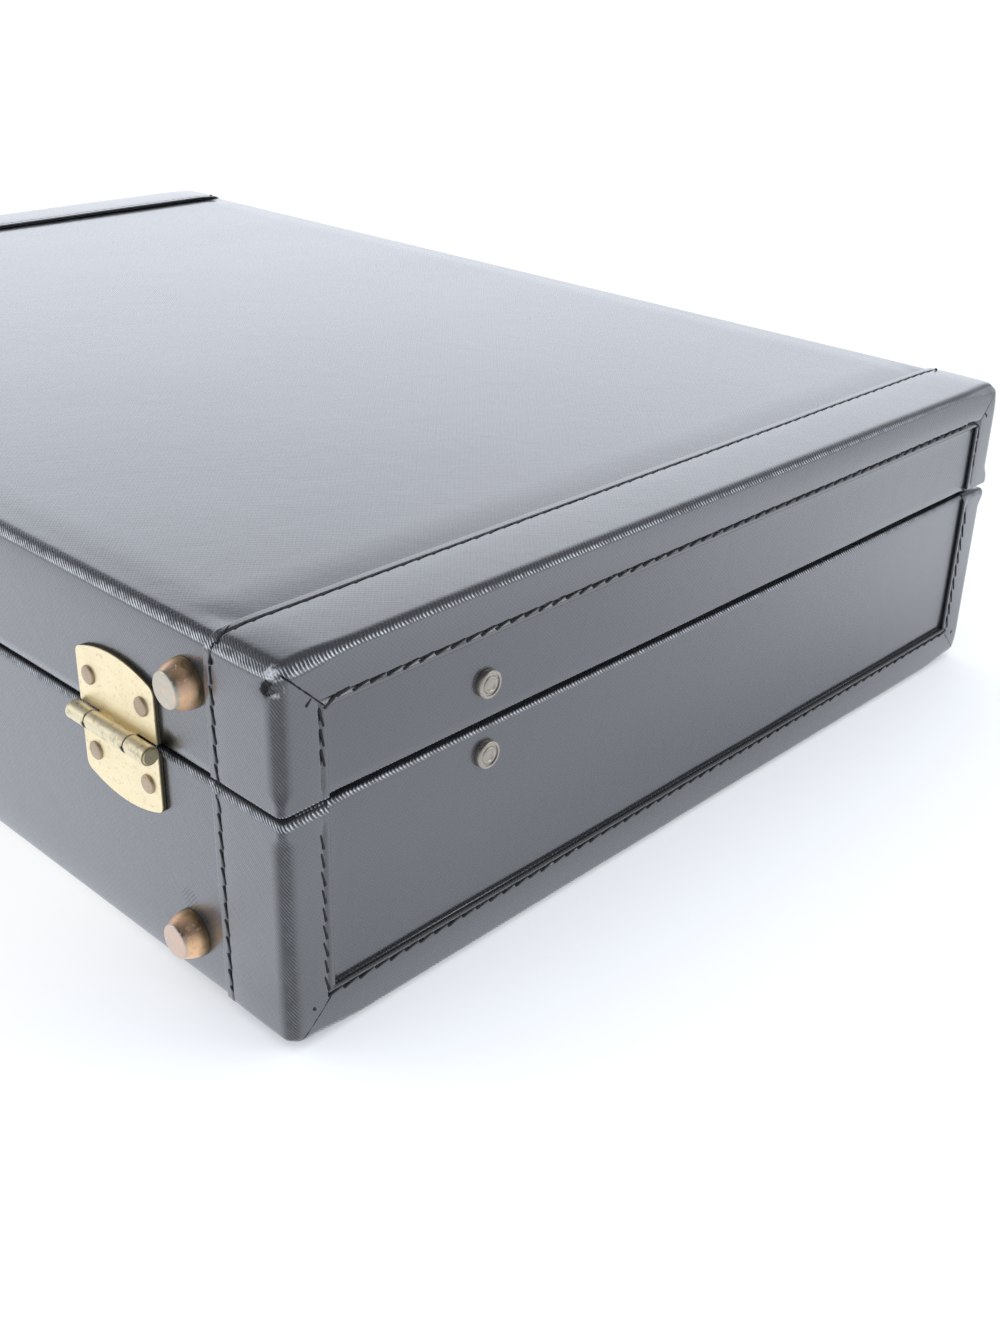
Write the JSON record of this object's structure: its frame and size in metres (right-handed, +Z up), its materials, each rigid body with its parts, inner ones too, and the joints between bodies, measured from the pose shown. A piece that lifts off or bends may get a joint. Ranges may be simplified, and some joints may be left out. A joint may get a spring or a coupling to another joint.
{
  "type": "attache case",
  "caption": "Rigid leather-covered attache case with raised stitched end bands, a hinged lid held by folding stays, hasp locks, a folding carrying handle and stud feet on the hinge side.",
  "frame": {"origin": "middle of the case's underside, with the case lying flat and closed", "axes": "+X along the case, +Y towards the hinge side, -Y towards the handle side, +Z up through the lid"},
  "size_m": [0.455, 0.3292, 0.103],
  "materials": {
    "leather": "charcoal black cross-grained leather, semi-gloss",
    "band_leather": "charcoal black cross-grained leather, a little darker",
    "brass": "lacquered pale brass with light tarnish",
    "copper": "worn copper-brown plated metal",
    "nickel": "worn nickel-plated steel",
    "board": "plain board",
    "lining": "brown lining cloth"
  },
  "bodies": {
    "base": {"base_board": "board", "base_front_rail": "board", "base_back_rail": "board", "base_end_rails": "board", "base_cover": "leather", "base_band_left": "band_leather", "base_band_right": "band_leather", "base_end_panel_left": "leather", "base_end_panel_right": "leather", "base_lip": "leather", "base_lining": "lining", "base_feet": "copper", "base_hinge_leaves": "brass", "hinge_pins": "brass", "base_hinge_rivets": "copper", "base_stay_rivets": "nickel", "handle_bracket_left": "brass", "handle_bracket_right": "brass", "handle_pins": "nickel", "handle_bracket_rivets": "brass", "lock_case_left": "brass", "lock_case_right": "brass", "lock_rivets": "brass"},
    "lid": {"lid_board": "board", "lid_front_rail": "board", "lid_back_rail": "board", "lid_end_rails": "board", "lid_cover": "leather", "lid_band_left": "band_leather", "lid_band_right": "band_leather", "lid_end_panel_left": "leather", "lid_end_panel_right": "leather", "lid_lining": "lining", "document_pocket": "leather", "lid_feet": "copper", "lid_hinge_leaves": "brass", "lid_hinge_rivets": "copper", "lid_stay_rivets": "nickel", "hasp_plate_left": "brass", "hasp_plate_right": "brass", "hasp_plate_rivets": "brass", "hasp_pins": "nickel"},
    "hasp_left": {"hasp_left": "brass"},
    "hasp_right": {"hasp_right": "brass"},
    "lock_button_left": {"lock_button_left": "brass"},
    "lock_button_right": {"lock_button_right": "brass"},
    "key_plug_left": {"key_plug_left": "nickel"},
    "key_plug_right": {"key_plug_right": "nickel"},
    "stay_lower_left": {"stay_lower_left": "nickel", "knee_rivet_left": "nickel"},
    "stay_lower_right": {"stay_lower_right": "nickel", "knee_rivet_right": "nickel"},
    "stay_upper_left": {"stay_upper_left": "nickel"},
    "stay_upper_right": {"stay_upper_right": "nickel"},
    "handle": {"handle_frame": "brass", "handle_grip": "leather"}
  },
  "joints": [
    {"name": "lid_hinge", "type": "hinge", "parent": "base", "child": "lid", "pos_m": [0, 0.1572, 0.0644], "axis": [-1, 0, 0], "range_deg": [0, 100]},
    {"name": "handle_swing", "type": "hinge", "parent": "base", "child": "handle", "pos_m": [0, -0.1624, 0.044], "axis": [-1, 0, 0], "range_deg": [0, 172]},
    {"name": "stay_base_pivot_left", "type": "hinge", "parent": "base", "child": "stay_lower_left", "pos_m": [-0.2165, 0.0904, 0.0568], "axis": [-1, 0, 0], "range_deg": [0, 101]},
    {"name": "stay_knee_left", "type": "hinge", "parent": "stay_lower_left", "child": "stay_upper_left", "pos_m": [-0.2165, 0.0236, 0.0687], "axis": [-1, 0, 0], "range_deg": [-101, 0]},
    {"name": "hasp_flip_left", "type": "hinge", "parent": "lid", "child": "hasp_left", "pos_m": [-0.15, -0.1584, 0.0803], "axis": [-1, 0, 0], "range_deg": [0, 110]},
    {"name": "button_slide_left", "type": "slide", "parent": "base", "child": "lock_button_left", "axis": [-1, 0, 0], "range_m": [0, 0.005], "stiffness_N_per_m": 60, "springref_m": -0.004},
    {"name": "key_turn_left", "type": "hinge", "parent": "base", "child": "key_plug_left", "pos_m": [-0.1385, -0.1569, 0.042], "axis": [0, -1, 0], "range_deg": [0, 90]},
    {"name": "stay_base_pivot_right", "type": "hinge", "parent": "base", "child": "stay_lower_right", "pos_m": [0.2165, 0.0904, 0.0568], "axis": [-1, 0, 0], "range_deg": [0, 101]},
    {"name": "stay_knee_right", "type": "hinge", "parent": "stay_lower_right", "child": "stay_upper_right", "pos_m": [0.2165, 0.0236, 0.0687], "axis": [-1, 0, 0], "range_deg": [-101, 0]},
    {"name": "hasp_flip_right", "type": "hinge", "parent": "lid", "child": "hasp_right", "pos_m": [0.15, -0.1584, 0.0803], "axis": [-1, 0, 0], "range_deg": [0, 110]},
    {"name": "button_slide_right", "type": "slide", "parent": "base", "child": "lock_button_right", "axis": [1, 0, 0], "range_m": [0, 0.005], "stiffness_N_per_m": 60, "springref_m": -0.004},
    {"name": "key_turn_right", "type": "hinge", "parent": "base", "child": "key_plug_right", "pos_m": [0.1385, -0.1569, 0.042], "axis": [0, -1, 0], "range_deg": [0, 90]}
  ],
  "couplings": [
    {"joint": "stay_base_pivot_left", "follows": "lid_hinge", "ratio": 1},
    {"joint": "stay_knee_left", "follows": "lid_hinge", "ratio": -1},
    {"joint": "stay_base_pivot_right", "follows": "lid_hinge", "ratio": 1},
    {"joint": "stay_knee_right", "follows": "lid_hinge", "ratio": -1}
  ]
}
